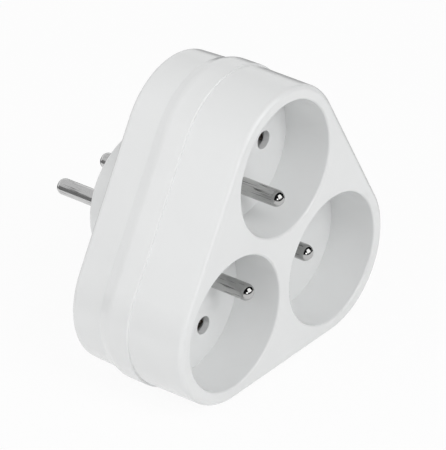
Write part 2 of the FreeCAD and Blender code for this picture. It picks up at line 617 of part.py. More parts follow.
def make_contact(doc, name, side, angle, level):
    """A folded strip with two sprung leaves, riveted by its foot to an ear of its bar."""
    body = new_body(doc, name)
    foot_level = "(%s + sizes.bar_thickness)" % level
    height = "(%s - sizes.clip_gap - %s)" % (FLOOR_BACK, foot_level)
    waist = "(%s - sizes.clip_lead)" % height
    thick = "sizes.clip_thickness"
    leaf = [
        ("sizes.clip_base / 2", "0"),
        ("sizes.clip_waist / 2 + %s" % thick, "-%s" % waist),
        ("sizes.clip_mouth / 2 + %s" % thick, "-%s" % height),
        ("sizes.clip_mouth / 2", "-%s" % height),
        ("sizes.clip_waist / 2", "-%s" % waist),
        ("sizes.clip_base / 2 - %s" % thick, "-%s" % thick),
    ]
    mirrored = [("-(%s)" % x, y) for x, y in reversed(leaf)]
    strip = new_sketch(body, name + "_strip", "-sizes.clip_width / 2", "XY_Plane")
    add_polygon(strip, leaf + mirrored)
    pad = body.newObject("PartDesign::Pad", name + "_form")
    pad.Profile = strip
    pad.setExpression("Length", "sizes.clip_width")
    hole = new_sketch(body, name + "_rivet_circle", "0")
    add_circle(hole, "sizes.rivet_shank / 2 + sizes.hole_clearance")
    add_feature(body, "Pocket", name + "_rivet_hole", hole, thick)
    doc.recompute()
    bend_contact(doc, body, name)
    shift = "%ssizes.contact_spacing / 2" % side
    turned = FreeCAD.Rotation(FreeCAD.Vector(0, -1, 0), angle)
    body.Placement = FreeCAD.Placement(FreeCAD.Vector(0, 0, 0), turned)
    x = "%s * cos(%d) - %s * sin(%d)" % (shift, angle, SOCKET_RING, angle)
    z = "%s * sin(%d) + %s * cos(%d)" % (shift, angle, SOCKET_RING, angle)
    body.setExpression("Placement.Base.x", x)
    body.setExpression("Placement.Base.y", "-%s" % foot_level)
    body.setExpression("Placement.Base.z", z)
    return body


def bend_contact(doc, body, name):
    """Rounds the folds of a spring contact: tight inside each bend, wider outside it."""
    size = doc.sizes.get
    thick = size("clip_thickness")
    foot = size("clip_base") / 2
    waist = size("clip_waist") / 2
    for part, radius, places in (
        ("inner", "sizes.clip_bend", [foot - thick, waist + thick]),
        ("outer", "sizes.clip_bend + sizes.clip_thickness", [foot, waist]),
    ):
        names = []
        for index, edge in enumerate(body.Shape.Edges, start=1):
            first, last = edge.Vertexes[0].Point, edge.Vertexes[-1].Point
            upright = math.hypot(first.x - last.x, first.y - last.y) < SAME_PLACE
            at_mouth = abs(first.y - body.Shape.BoundBox.YMin) < SAME_PLACE
            at_bend = any(abs(abs(first.x) - place) < SAME_PLACE for place in places)
            if upright and at_bend and not at_mouth:
                names.append("Edge%d" % index)
        round_edges(body, "%s_%s_bends" % (name, part), radius, names)
        doc.recompute()


def make_contact_rivets(doc):
    """Six like rivets, through the feet of the contacts and the ears of the bars."""
    body = new_body(doc, "contact_rivets")
    shank = "sizes.rivet_shank / 2"
    head = "sizes.rivet_head / 2"
    for name, side, level in (("live", "", LIVE_LEVEL), ("neutral", "-", NEUTRAL_LEVEL)):
        under = "%s + sizes.bar_thickness + sizes.clip_thickness" % level
        top = "%s + sizes.rivet_head_height" % under
        profile = [(level, "0"), (level, shank), (under, shank), (under, head), (top, head), (top, "0")]
        x = "%ssizes.contact_spacing / 2" % side
        form = turn(body, name + "_rivet", profile, x, SOCKET_RING)
        add_pattern(body, name + "_rivets", [form])
    return body


def make_earth_bar(doc):
    """A stamped star that joins the three earth pins."""
    body = new_body(doc, "earth_busbar")
    thick = "sizes.earth_bar_thickness"
    back = "%s - %s" % (EARTH_LEVEL, thick)
    hub = new_sketch(body, "hub_circle", back)
    add_circle(hub, "sizes.earth_hub / 2")
    add_feature(body, "Pad", "hub", hub, thick)
    arm = new_sketch(body, "arm_outline", back)
    add_rectangle(arm, "-sizes.earth_arm_width / 2", "0", "sizes.earth_arm_width / 2", EARTH_RING)
    end = new_sketch(body, "arm_end_circle", back)
    add_circle(end, "sizes.earth_arm_width / 2", z=EARTH_RING)
    features = [add_feature(body, "Pad", "arm", arm, thick)]
    features.append(add_feature(body, "Pad", "arm_end", end, thick))
    add_pattern(body, "arms", features)
    hole = new_sketch(body, "tail_circle", back)
    add_circle(hole, "sizes.pin_tail / 2 + sizes.hole_clearance", z=EARTH_RING)
    add_pattern(body, "tail_holes", [add_feature(body, "Pocket", "tail_hole", hole, thick)])
    return body


def make_plug_earth_contact(doc):
    """A rolled and slit tube in the plug boss, with a riser welded under the earth bar."""
    body = new_body(doc, "plug_earth_contact")
    start = "sizes.end_wall + sizes.shell_clearance"
    tube = new_sketch(body, "tube_circles", start)
    add_circle(tube, TUBE_OUTER, z="sizes.earth_offset")
    add_circle(tube, PIN_RADIUS, z="sizes.earth_offset")
    add_feature(body, "Pad", "tube", tube, "sizes.tube_length")
    slit = new_sketch(body, "slit_outline", start)
    high = "sizes.earth_offset + %s + sizes.tube_thickness" % TUBE_OUTER
    add_rectangle(slit, "-sizes.tube_slit / 2", "sizes.earth_offset", "sizes.tube_slit / 2", high)
    add_feature(body, "Pocket", "slit", slit, "sizes.tube_length")
    outer = "(sizes.earth_offset - %s)" % TUBE_OUTER
    inner = "(sizes.earth_offset - %s)" % PIN_RADIUS
    foot = "(%s + sizes.tube_length - sizes.tube_thickness)" % start
    top = "(%s - sizes.earth_bar_thickness)" % EARTH_LEVEL
    riser = new_sketch(body, "riser_outline", foot)
    add_rectangle(riser, "-sizes.riser_width / 2", outer, "sizes.riser_width / 2", inner)
    add_feature(body, "Pad", "riser", riser, "%s - %s" % (top, foot))
    tab = new_sketch(body, "riser_tab_outline", "%s - sizes.tube_thickness" % top)
    add_rectangle(tab, "-sizes.riser_width / 2", "0", "sizes.riser_width / 2", inner)
    add_feature(body, "Pad", "riser_tab", tab, "sizes.tube_thickness")
    return body


def make_screws(doc):
    """Three like self-tapping screws that draw the shells together from behind."""
    body = new_body(doc, "housing_screws")
    outside = "%s - sizes.head_height" % HEAD_SEAT
    end = "%s + sizes.screw_length" % HEAD_SEAT
    shank = "sizes.screw_shank / 2"
    head = "sizes.screw_head / 2"
    point = "%s - %s" % (end, shank)
    profile = [
        (outside, "0"), (outside, head), (HEAD_SEAT, head), (HEAD_SEAT, shank),
        (point, shank), (end, "sizes.screw_tip / 2"), (end, "0"),
    ]
    form = turn(body, "screw", profile, z="-" + SCREW_RING)
    drive = new_sketch(body, "drive_outline", outside)
    near = "sizes.drive_width / 2"
    far = "sizes.drive_span / 2"
    cross = [
        (near, far), ("-" + near, far), ("-" + near, near), ("-" + far, near),
        ("-" + far, "-" + near), ("-" + near, "-" + near), ("-" + near, "-" + far),
        (near, "-" + far), (near, "-" + near), (far, "-" + near), (far, near), (near, near),
    ]
    add_polygon(drive, [(x, "%s - %s" % (z, SCREW_RING)) for x, z in cross])
    cut = add_feature(body, "Pocket", "drive", drive, "sizes.drive_depth")
    add_pattern(body, "screws", [form, cut])
    return body


def check(doc, pieces):
    """Stops if any object failed or any piece has no sound solid."""
    for item in doc.Objects:
        if any(word in item.State for word in ("Invalid", "Error")):
            raise RuntimeError("%s is %s" % (item.Name, item.State))
    for piece in pieces:
        shape = piece.Shape
        if shape.isNull() or not shape.isValid() or not shape.Solids:
            raise RuntimeError("%s has no sound solid" % piece.Label)


def main():
    doc = FreeCAD.newDocument("adapter")
    make_sheet(doc)
    pieces = [make_front_shell(doc), make_socket_base(doc), make_rear_shell(doc)]
    pieces.append(make_plug_pin(doc, "live_plug_pin", "", LIVE_LEVEL))
    pieces.append(make_plug_pin(doc, "neutral_plug_pin", "-", NEUTRAL_LEVEL))
    sockets = [("top", 0), ("left", 120), ("right", 240)]
    for place, angle in sockets:
        pieces.append(make_earth_pin(doc, "earth_pin_" + place, angle))
    pieces.append(make_bar(doc, "live_busbar", "", LIVE_LEVEL))
    pieces.append(make_insulating_plate(doc))
    pieces.append(make_bar(doc, "neutral_busbar", "-", NEUTRAL_LEVEL))
    for place, angle in sockets:
        pieces.append(make_contact(doc, "live_contact_" + place, "", angle, LIVE_LEVEL))
        pieces.append(make_contact(doc, "neutral_contact_" + place, "-", angle, NEUTRAL_LEVEL))
    pieces.append(make_contact_rivets(doc))
    pieces.append(make_earth_bar(doc))
    pieces.append(make_plug_earth_contact(doc))
    pieces.append(make_screws(doc))
    doc.recompute()
    check(doc, pieces)
    os.makedirs("parts", exist_ok=True)
    for piece in pieces:
        piece.Shape.exportStep("parts/%s.step" % piece.Label)
        print("%-26s solids %d  volume %.1f" % (piece.Label, len(piece.Shape.Solids), piece.Shape.Volume))


main()
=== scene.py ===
import bpy
import bmesh
import math
from mathutils import Matrix, Vector


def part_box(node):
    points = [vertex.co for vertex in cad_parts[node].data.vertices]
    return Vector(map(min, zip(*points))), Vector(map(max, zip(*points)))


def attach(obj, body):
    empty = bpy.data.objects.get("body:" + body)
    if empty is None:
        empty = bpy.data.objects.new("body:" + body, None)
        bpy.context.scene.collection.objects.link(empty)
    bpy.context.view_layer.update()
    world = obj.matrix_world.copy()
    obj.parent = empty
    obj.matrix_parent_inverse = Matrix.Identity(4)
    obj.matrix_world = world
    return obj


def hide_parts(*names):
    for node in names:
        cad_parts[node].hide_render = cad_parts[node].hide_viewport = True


# Multi socket adapter: three round earthed sockets in front, a round plug boss with two pins
# behind. Metres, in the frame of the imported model; sizes written as plain numbers are millimetres
# up to the studio. The sections follow the order in which it is put together.

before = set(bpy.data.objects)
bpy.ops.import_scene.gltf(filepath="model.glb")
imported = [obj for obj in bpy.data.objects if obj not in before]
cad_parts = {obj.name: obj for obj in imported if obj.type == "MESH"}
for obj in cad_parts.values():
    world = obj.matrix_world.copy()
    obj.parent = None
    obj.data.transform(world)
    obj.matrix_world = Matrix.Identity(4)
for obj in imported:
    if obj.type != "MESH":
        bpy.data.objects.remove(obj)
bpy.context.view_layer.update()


# Rear shell: the rear half of the housing, with the plug boss, the sleeves and the screw posts in
# it. Injection moulded in white ABS in a polished mould. Everything else is laid into it.

MM = 0.001
# Most of a noise lies between these two
NOISE_LOW = 0.3
NOISE_HIGH = 0.7
FLOW_WIDTH = 24.0
GLOSS_GRAIN = 0.9
PEEL_WIDTH = 1.8
PEEL_DEPTH = 0.008


def linear(code):
    """The linear colour of an sRGB hex code."""
    parts = [int(code[start:start + 2], 16) / 255 for start in (1, 3, 5)]
    return [c / 12.92 if c <= 0.04045 else ((c + 0.055) / 1.055) ** 2.4 for c in parts] + [1.0]


def add(tree, kind, settings=None, inputs=None):
    """Adds a node. A setting is one of its properties; an input is a value or another node's
    output."""
    node = tree.nodes.new(kind)
    for name, value in (settings or {}).items():
        setattr(node, name, value)
    for name, value in (inputs or {}).items():
        if isinstance(value, bpy.types.NodeSocket):
            tree.links.new(value, node.inputs[name])
        else:
            node.inputs[name].default_value = value
    return node


def new_finish(name):
    """An empty material, its tree, and the coordinates on the object that patterns follow."""
    material = bpy.data.materials.new(name)
    material.use_nodes = True
    tree = material.node_tree
    tree.nodes.clear()
    return material, tree, add(tree, "ShaderNodeTexCoord").outputs


def close_finish(tree, surface):
    """Ends a material with the shader that gives its surface."""
    add(tree, "ShaderNodeOutputMaterial", None, {"Surface": surface.outputs[0]})


def moulded_abs():
    """Moulded ABS. The eye gets a neutral white, faintly clouded by the plastic's flow, with a
    soft and finely uneven gloss. Faint orange peel from the mould bends what it reflects."""
    material, tree, place = new_finish("glossy moulded ABS")
    flow = add(tree, "ShaderNodeTexNoise", None,
               {"Vector": place["Object"], "Scale": 1 / (FLOW_WIDTH * MM), "Detail": 3.0,
                "Distortion": 0.6})
    white = add(tree, "ShaderNodeMixRGB", None,
                {0: flow.outputs["Fac"], "Color1": linear("#EDEEEE"),
                 "Color2": linear("#F3F4F4")})
    grain = add(tree, "ShaderNodeTexNoise", None,
                {"Vector": place["Object"], "Scale": 1 / (GLOSS_GRAIN * MM), "Detail": 2.0})
    gloss = add(tree, "ShaderNodeMapRange", None,
                {"Value": grain.outputs["Fac"], "From Min": NOISE_LOW, "From Max": NOISE_HIGH,
                 "To Min": 0.19, "To Max": 0.27})
    peel = add(tree, "ShaderNodeTexNoise", None,
               {"Vector": place["Object"], "Scale": 1 / (PEEL_WIDTH * MM), "Detail": 1.0})
    relief = add(tree, "ShaderNodeBump", None,
                 {"Height": peel.outputs["Fac"], "Strength": 1.0, "Distance": PEEL_DEPTH * MM})
    close_finish(tree, add(tree, "ShaderNodeBsdfPrincipled", None, {
        "Base Color": white.outputs[0], "Roughness": gloss.outputs[0],
        "Normal": relief.outputs[0], "IOR": 1.53}))
    return material


def dress(names, material):
    """Gives CAD nodes a finish."""
    for name in names:
        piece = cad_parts[name]
        for holder in piece.material_slots:
            holder.link = "OBJECT"
            holder.material = material


white_abs = moulded_abs()
dress(["rear_shell"], white_abs)


# Plug pins: two solid pins turned from brass rod, nickel plated, with a domed tip. Each is pushed
# through its sleeve in the plug boss until its flange lies flush in its seat in the plug face.

# Real lines are 0.05 apart; they are drawn wider apart, so that they show
LINE_SPACING = 0.3
LINE_LENGTH = 9.0
LINE_DEPTH = 0.004


def nickel_plated_brass(name, bright, worn_colour):
    """Plated rod. The eye gets a bright neutral metal with long fine lines along the shank, from
    the drawn rod and from use, and a dome that was polished after turning and mirrors the room."""
    material, tree, place = new_finish(name)
    stretched = add(tree, "ShaderNodeMapping", None,
                    {"Vector": place["Object"],
                     "Scale": (1 / (LINE_SPACING * MM), 1 / (LINE_LENGTH * MM),
                               1 / (LINE_SPACING * MM))})
    lines = add(tree, "ShaderNodeTexNoise", None,
                {"Vector": stretched.outputs[0], "Scale": 1.0, "Detail": 3.0, "Roughness": 0.6})
    # The lines end where the surface starts to turn towards the tip
    facing = add(tree, "ShaderNodeSeparateXYZ", None, {"Vector": place["Normal"]})
    along = add(tree, "ShaderNodeMath", {"operation": "ABSOLUTE"}, {0: facing.outputs["Y"]})
    shank = add(tree, "ShaderNodeMapRange", None,
                {"Value": along.outputs[0], "From Min": 0.02, "From Max": 0.12,
                 "To Min": 1.0, "To Max": 0.0})
    drawn = add(tree, "ShaderNodeMath", {"operation": "MULTIPLY"},
                {0: lines.outputs["Fac"], 1: shank.outputs[0]})
    gloss = add(tree, "ShaderNodeMapRange", None,
                {"Value": drawn.outputs[0], "From Min": 0.0, "From Max": NOISE_HIGH,
                 "To Min": 0.05, "To Max": 0.22})
    # Only the strongest lines show as worn
    worn = add(tree, "ShaderNodeMapRange", None,
               {"Value": drawn.outputs[0], "From Min": 0.57, "From Max": 0.66})
    colour = add(tree, "ShaderNodeMixRGB", None,
                 {0: worn.outputs[0], "Color1": linear(bright), "Color2": linear(worn_colour)})
    relief = add(tree, "ShaderNodeBump", None,
                 {"Height": drawn.outputs[0], "Strength": 1.0, "Distance": LINE_DEPTH * MM})
    close_finish(tree, add(tree, "ShaderNodeBsdfPrincipled", None, {
        "Base Color": colour.outputs[0], "Metallic": 1.0, "Roughness": gloss.outputs[0],
        "Normal": relief.outputs[0]}))
    return material


dress(["live_plug_pin", "neutral_plug_pin"],
      nickel_plated_brass("nickel-plated brass", "#CACACA", "#8C8C8C"))


# Live bar: a ring-shaped bar stamped from rolled brass strip, with an ear for each contact and a
# tab for the pin. It lies on the back wall, and the pin's tail is peened over it.

ROLLED_LENGTH = 14.0
ROLLED_DEPTH = 0.008
TARNISH_WIDTH = 5.0


def rolled_strip(name, bright, dull, spacing, rough):
    """Rolled metal strip. The eye gets a warm metal with fine rolling lines in one direction, a
    spacing in millimetres apart, and small dull clouds where it has tarnished."""
    material, tree, place = new_finish(name)
    rolled = add(tree, "ShaderNodeMapping", None,
                 {"Vector": place["Object"],
                  "Scale": (1 / (ROLLED_LENGTH * MM), 1 / (spacing * MM), 1 / (spacing * MM))})
    lines = add(tree, "ShaderNodeTexNoise", None,
                {"Vector": rolled.outputs[0], "Scale": 1.0, "Detail": 4.0, "Roughness": 0.65})
    clouds = add(tree, "ShaderNodeTexNoise", None,
                 {"Vector": place["Object"], "Scale": 1 / (TARNISH_WIDTH * MM), "Detail": 4.0})
    tarnish = add(tree, "ShaderNodeMapRange", None,
                  {"Value": clouds.outputs["Fac"], "From Min": 0.45, "From Max": 0.75})
    colour = add(tree, "ShaderNodeMixRGB", None,
                 {0: tarnish.outputs[0], "Color1": linear(bright), "Color2": linear(dull)})
    gloss = add(tree, "ShaderNodeMapRange", None,
                {"Value": lines.outputs["Fac"], "From Min": NOISE_LOW, "From Max": NOISE_HIGH,
                 "To Min": rough - 0.08, "To Max": rough + 0.10})
    relief = add(tree, "ShaderNodeBump", None,
                 {"Height": lines.outputs["Fac"], "Strength": 1.0, "Distance": ROLLED_DEPTH * MM})
    close_finish(tree, add(tree, "ShaderNodeBsdfPrincipled", None, {
        "Base Color": colour.outputs[0], "Metallic": 1.0, "Roughness": gloss.outputs[0],
        "Normal": relief.outputs[0]}))
    return material


brass = rolled_strip("rolled brass strip", "#C9AC70", "#94774A", 0.3, 0.28)
dress(["live_busbar"], brass)


# Insulating plate: a washer punched from vulcanised fibre sheet. It lies loose on the live bar,
# round the sleeves of the pins, and keeps the neutral bar off it.

FLECK_WIDTH = 0.8
FELT_DEPTH = 0.03


def vulcanised_fibre():
    """Pressed cotton fibre. The eye gets a matt red-brown board with short darker flecks in it and
    a faint felt-like relief."""
    material, tree, place = new_finish("vulcanised fibre sheet")
    flecks = add(tree, "ShaderNodeTexNoise", None,
                 {"Vector": place["Object"], "Scale": 1 / (FLECK_WIDTH * MM), "Detail": 5.0,
                  "Distortion": 2.0})
    share = add(tree, "ShaderNodeMapRange", None,
                {"Value": flecks.outputs["Fac"], "From Min": 0.4, "From Max": 0.65})
    colour = add(tree, "ShaderNodeMixRGB", None,
                 {0: share.outputs[0], "Color1": linear("#7A4030"), "Color2": linear("#4E2A20")})
    relief = add(tree, "ShaderNodeBump", None,
                 {"Height": flecks.outputs["Fac"], "Strength": 1.0, "Distance": FELT_DEPTH * MM})
    gloss = add(tree, "ShaderNodeMapRange", None,
                {"Value": flecks.outputs["Fac"], "To Min": 0.55, "To Max": 0.8})
    close_finish(tree, add(tree, "ShaderNodeBsdfPrincipled", None, {
        "Base Color": colour.outputs[0], "Roughness": gloss.outputs[0],
        "Normal": relief.outputs[0]}))
    return material


dress(["insulating_plate"], vulcanised_fibre())


# Neutral bar: the live bar turned over, of the same brass strip. It lies on the plate, and the
# other pin's tail is peened over it.

dress(["neutral_busbar"], brass)


# Spring contacts: six folded strips of phosphor bronze, each with two leaves that grip a pin.
# Their feet sit on the ears of the bars.

bronze = rolled_strip("phosphor bronze spring strip", "#948B81", "#615B55", 0.25, 0.24)
dress([line + "_contact_" + socket for line in ("live", "neutral")
       for socket in ("top", "left", "right")], bronze)


# Contact rivets: six solid brass rivets with a low domed head inside each contact. They go through
# the foot of the contact and the ear of the bar, and their ends are set flush under the ear.

SOCKETS = 3
# From the adapter's axis to a socket's, and from that sideways to a contact
SOCKET_RING = 25.519
CONTACT_SIDE = 9.5
# Undersides of the bars' ears, counted from the plug face
LIVE_LEVEL = 16.1
NEUTRAL_LEVEL = 17.5
RIVET_SIDES = 24
# Height above the foot of the rivet, and radius there
RIVET_PROFILE = [(0.0, 0.0), (0.0, 0.85), (0.15, 1.0), (1.1, 1.0), (1.1, 1.72), (1.17, 1.8),
                 (1.27, 1.72), (1.38, 1.45), (1.46, 0.95), (1.5, 0.4), (1.5, 0.0)]
# An edge that turns by more than this is sharp on the real piece
SHARP_ANGLE = math.radians(35)


def soften(mesh):
    """Shades a mesh smooth, but keeps the edges that are sharp on the real piece."""
    mesh.shade_smooth()
    mesh.set_sharp_from_angle(angle=SHARP_ANGLE)


def closed_mesh(name, shape):
    """The mesh of a closed shape, with its faces turned outwards."""
    bmesh.ops.recalc_face_normals(shape, faces=shape.faces)
    mesh = bpy.data.meshes.new(name)
    shape.to_mesh(mesh)
    shape.free()
    return mesh


def turned(name, profile, sides):
    """A closed turned mesh: (length, radius) pairs in millimetres, along -Y."""
    shape = bmesh.new()
    rings = []
    for length, radius in profile:
        angles = [2 * math.pi * side / sides for side in range(sides)] if radius else [0.0]
        rings.append([shape.verts.new((radius * MM * math.cos(angle), -length * MM,
                                       radius * MM * math.sin(angle))) for angle in angles])
    for low, high in zip(rings, rings[1:]):
        for side in range(sides):
            after = (side + 1) % sides
            corners = [low[side % len(low)], low[after % len(low)],
                       high[after % len(high)], high[side % len(high)]]
            shape.faces.new(list(dict.fromkeys(corners)))
    mesh = closed_mesh(name, shape)
    soften(mesh)
    return mesh


def put(name, data):
    """A new object in the scene."""
    thing = bpy.data.objects.new(name, data)
    bpy.context.scene.collection.objects.link(thing)
    return thing


def finished_mesh(piece):
    """A plain mesh of a piece, as its modifiers leave it."""
    graph = bpy.context.evaluated_depsgraph_get()
    return bpy.data.meshes.new_from_object(piece.evaluated_get(graph))


def new_tree(name, inputs):
    """A geometry tree with named numbers as inputs, and its input and output nodes."""
    tree = bpy.data.node_groups.new(name, "GeometryNodeTree")
    tree.interface.new_socket("Geometry", in_out="INPUT", socket_type="NodeSocketGeometry")
    for label in inputs:
        tree.interface.new_socket(label, in_out="INPUT", socket_type="NodeSocketFloat")
    tree.interface.new_socket("Geometry", in_out="OUTPUT", socket_type="NodeSocketGeometry")
    return tree, add(tree, "NodeGroupInput").outputs, add(tree, "NodeGroupOutput").inputs[0]


def three_places(tree, ring, angle, depth):
    """Points on a ring round the adapter's axis, one for each socket: the first lies at an angle
    from +X, and all lie that deep from the plug face."""
    circle = add(tree, "GeometryNodeMeshCircle", None, {"Vertices": SOCKETS, "Radius": ring})
    back = add(tree, "ShaderNodeMath", {"operation": "MULTIPLY"}, {0: angle, 1: -1.0})
    behind = add(tree, "ShaderNodeMath", {"operation": "MULTIPLY"}, {0: depth, 1: -1.0})
    turn = add(tree, "ShaderNodeCombineXYZ", None, {"X": math.pi / 2, "Y": back.outputs[0]})
    shift = add(tree, "ShaderNodeCombineXYZ", None, {"Y": behind.outputs[0]})
    placed = add(tree, "GeometryNodeTransform", None,
                 {"Geometry": circle.outputs[0], "Translation": shift.outputs[0],
                  "Rotation": turn.outputs[0]})
    return placed.outputs[0]


def set_copies(tree, end, material, copies):
    """Ends a tree with real copies of a shape on points, in one finish."""
    set_in = add(tree, "GeometryNodeInstanceOnPoints", None, copies)
    real = add(tree, "GeometryNodeRealizeInstances", None, {"Geometry": set_in.outputs[0]})
    dressed = add(tree, "GeometryNodeSetMaterial", None,
                  {"Geometry": real.outputs[0], "Material": material})
    tree.links.new(dressed.outputs[0], end)


def grow(name, mesh, tree, values):
    """Runs a geometry tree on a mesh and keeps the result as a plain mesh."""
    piece = put(name, mesh)
    modifier = piece.modifiers.new("tree", "NODES")
    modifier.node_group = tree
    for socket in tree.interface.items_tree:
        if socket.in_out == "INPUT" and socket.name in values:
            modifier[socket.identifier] = values[socket.name]
    made = finished_mesh(piece)
    piece.modifiers.remove(modifier)
    piece.data = made
    return piece


def rivet_tree(material):
    """Sets a rivet in each contact's foot."""
    names = ["Ring radius", "Live angle", "Live depth", "Neutral angle", "Neutral depth"]
    tree, given, end = new_tree("rivets in the contacts", names)
    both = add(tree, "GeometryNodeJoinGeometry")
    for line in ("Live", "Neutral"):
        points = three_places(tree, given["Ring radius"], given[line + " angle"],
                              given[line + " depth"])
        tree.links.new(points, both.inputs[0])
    set_copies(tree, end, material, {"Points": both.outputs[0], "Instance": given["Geometry"]})
    return tree


live_angle = math.atan2(SOCKET_RING, CONTACT_SIDE)
rivets = grow("rivets", turned("rivet", RIVET_PROFILE, RIVET_SIDES), rivet_tree(brass), {
    "Ring radius": math.hypot(SOCKET_RING, CONTACT_SIDE) * MM,
    "Live angle": live_angle, "Live depth": LIVE_LEVEL * MM,
    "Neutral angle": math.pi - live_angle, "Neutral depth": NEUTRAL_LEVEL * MM})
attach(rivets, "root")
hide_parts("contact_rivets")


# Plug earth contact: a slit tube rolled from brass strip, which grips the wall socket's earth pin
# in the plug boss. Its riser is spot welded under the earth bar.

dress(["plug_earth_contact"], brass)


# Socket base: the moulding that closes the recesses behind, with the contact holes in it and a
# cell for each contact. It is of the same ABS as the shells and is clamped behind the collars.

dress(["socket_base"], white_abs)


# Earth bar: a three-armed star stamped from brass strip. It lies behind the socket base and joins
# the three earth pins to the plug's earth contact.

dress(["earth_busbar"], brass)


# Earth pins: three pins turned like the plug pins, with a rounder tip. Their copy of the plating is
# given darker colours as painted shade, for the dim recess walls they mirror. Each stands in its
# recess on a shoulder, and its tail is peened over the earth bar.

# A copy of the plated metal with darker colours: painted shade, for the dim recess walls that the
# earth pins mirror.
dress(["earth_pin_top", "earth_pin_left", "earth_pin_right"],
      nickel_plated_brass("nickel-plated brass with painted shade", "#B6B6B5", "#6E6E6D"))


# Front shell: the front half of the housing, moulded in the same ABS, with a collar round each
# recess. Its spigot goes into the rear shell behind the raised band.

dress(["front_shell"], white_abs)


# Housing screws: three self-tapping pan-head screws with a cross drive, bright zinc plated. They
# sit in deep holes behind and draw the two shells together.

SCREW_RING = 30.0
SCREW_SEAT = 18.5
SCREW_SIDES = 32
HEAD_HEIGHT = 1.8
# Length from the top of the head, and radius there; the last three pairs are the blunt tip
SCREW_PROFILE = [(0.0, 0.0), (0.0, 1.5), (0.06, 1.95), (0.22, 2.35), (0.5, 2.62), (0.85, 2.73),
                 (1.6, 2.75), (1.8, 2.62), (1.8, 1.35), (2.0, 1.08), (14.0, 1.08), (15.2, 0.7),
                 (15.8, 0.45), (15.8, 0.0)]
# The drive just above the head and at its bottom: depth, half an arm's width, half the span
DRIVE_LEVELS = [(-0.2, 0.5, 1.9), (1.0, 0.32, 1.15)]
THREAD_START = 19.6
THREAD_END = 31.2
THREAD_PITCH = 1.1
THREAD_RADIUS = 1.12
THREAD_HEIGHT = 0.3
# Steps in one turn of the thread, and corners of the ridge
THREAD_STEPS = 20
THREAD_CORNERS = 3
# For how far round each screw stopped
TURN_SEED = 5
MOTTLE_WIDTH = 0.5
MOTTLE_DEPTH = 0.008


def cross_cutter(name):
    """The tapered cross that the drive leaves in the head, as a closed mesh a little proud."""
    shape = bmesh.new()
    levels = []
    for depth, near, far in DRIVE_LEVELS:
        outline = []
        arm = [(near, far), (-near, far), (-near, near)]
        for _ in range(4):
            outline += arm
            arm = [(-z, x) for x, z in arm]
        levels.append([shape.verts.new((x * MM, -depth * MM, z * MM)) for x, z in outline])
    top, bottom = levels
    for index in range(len(top)):
        after = (index + 1) % len(top)
        shape.faces.new([top[index], top[after], bottom[after], bottom[index]])
    shape.faces.new(top)
    shape.faces.new(bottom)
    return closed_mesh(name, shape)


def driven_head(mesh):
    """The turned screw with the cross cut into its head."""
    blank = put("screw blank", mesh)
    cutter = put("drive cutter", cross_cutter("drive"))
    cut = blank.modifiers.new("drive", "BOOLEAN")
    cut.operation = "DIFFERENCE"
    cut.solver = "EXACT"
    cut.object = cutter
    made = finished_mesh(blank)
    for piece in (blank, cutter):
        bpy.data.objects.remove(piece)
    soften(made)
    return made


def screw_tree(material):
    """Winds a thread round the shank, and sets a screw in each of the three holes, turned as it
    came."""
    names = ["Ring radius", "First angle", "Head depth", "Thread start", "Thread length", "Pitch",
             "Thread radius", "Thread height"]
    tree, given, end = new_tree("screws in the housing", names)
    turns = add(tree, "ShaderNodeMath", {"operation": "DIVIDE"},
                {0: given["Thread length"], 1: given["Pitch"]})
    helix = add(tree, "GeometryNodeCurveSpiral", None,
                {"Resolution": THREAD_STEPS, "Rotations": turns.outputs[0],
                 "Start Radius": given["Thread radius"], "End Radius": given["Thread radius"],
                 "Height": given["Thread length"]})
    ridge = add(tree, "GeometryNodeCurvePrimitiveCircle", None,
                {"Resolution": THREAD_CORNERS, "Radius": given["Thread height"]})
    thread = add(tree, "GeometryNodeCurveToMesh", None,
                 {"Curve": helix.outputs[0], "Profile Curve": ridge.outputs[0],
                  "Fill Caps": True})
    back = add(tree, "ShaderNodeMath", {"operation": "MULTIPLY"},
               {0: given["Thread start"], 1: -1.0})
    start = add(tree, "ShaderNodeCombineXYZ", None, {"Y": back.outputs[0]})
    laid = add(tree, "GeometryNodeTransform", None,
               {"Geometry": thread.outputs[0], "Translation": start.outputs[0],
                "Rotation": (math.pi / 2, 0.0, 0.0)})
    whole = add(tree, "GeometryNodeJoinGeometry")
    for part in (given["Geometry"], laid.outputs[0]):
        tree.links.new(part, whole.inputs[0])
    points = three_places(tree, given["Ring radius"], given["First angle"], given["Head depth"])
    # Input 3 is the greatest turn, and output 1 the turn that is drawn
    drawn = add(tree, "FunctionNodeRandomValue", {"data_type": "FLOAT"},
                {3: math.pi / 2, "Seed": TURN_SEED})
    turn = add(tree, "ShaderNodeCombineXYZ", None, {"Y": drawn.outputs[1]})
    set_copies(tree, end, material, {"Points": points, "Instance": whole.outputs[0],
                                     "Rotation": turn.outputs[0]})
    return tree


def zinc_plated_steel():
    """Bright zinc on a cold-headed screw. The eye gets a pale bluish metal, finely mottled by the
    plating, and a gloss that changes with the mottle."""
    material, tree, place = new_finish("zinc-plated steel")
    mottle = add(tree, "ShaderNodeTexNoise", None,
                 {"Vector": place["Object"], "Scale": 1 / (MOTTLE_WIDTH * MM), "Detail": 4.0})
    colour = add(tree, "ShaderNodeMixRGB", None,
                 {0: mottle.outputs["Fac"], "Color1": linear("#B4BAC0"),
                  "Color2": linear("#D5D9DC")})
    gloss = add(tree, "ShaderNodeMapRange", None,
                {"Value": mottle.outputs["Fac"], "From Min": NOISE_LOW, "From Max": NOISE_HIGH,
                 "To Min": 0.2, "To Max": 0.38})
    relief = add(tree, "ShaderNodeBump", None,
                 {"Height": mottle.outputs["Fac"], "Strength": 1.0,
                  "Distance": MOTTLE_DEPTH * MM})
    close_finish(tree, add(tree, "ShaderNodeBsdfPrincipled", None, {
        "Base Color": colour.outputs[0], "Metallic": 1.0, "Roughness": gloss.outputs[0],
        "Normal": relief.outputs[0]}))
    return material


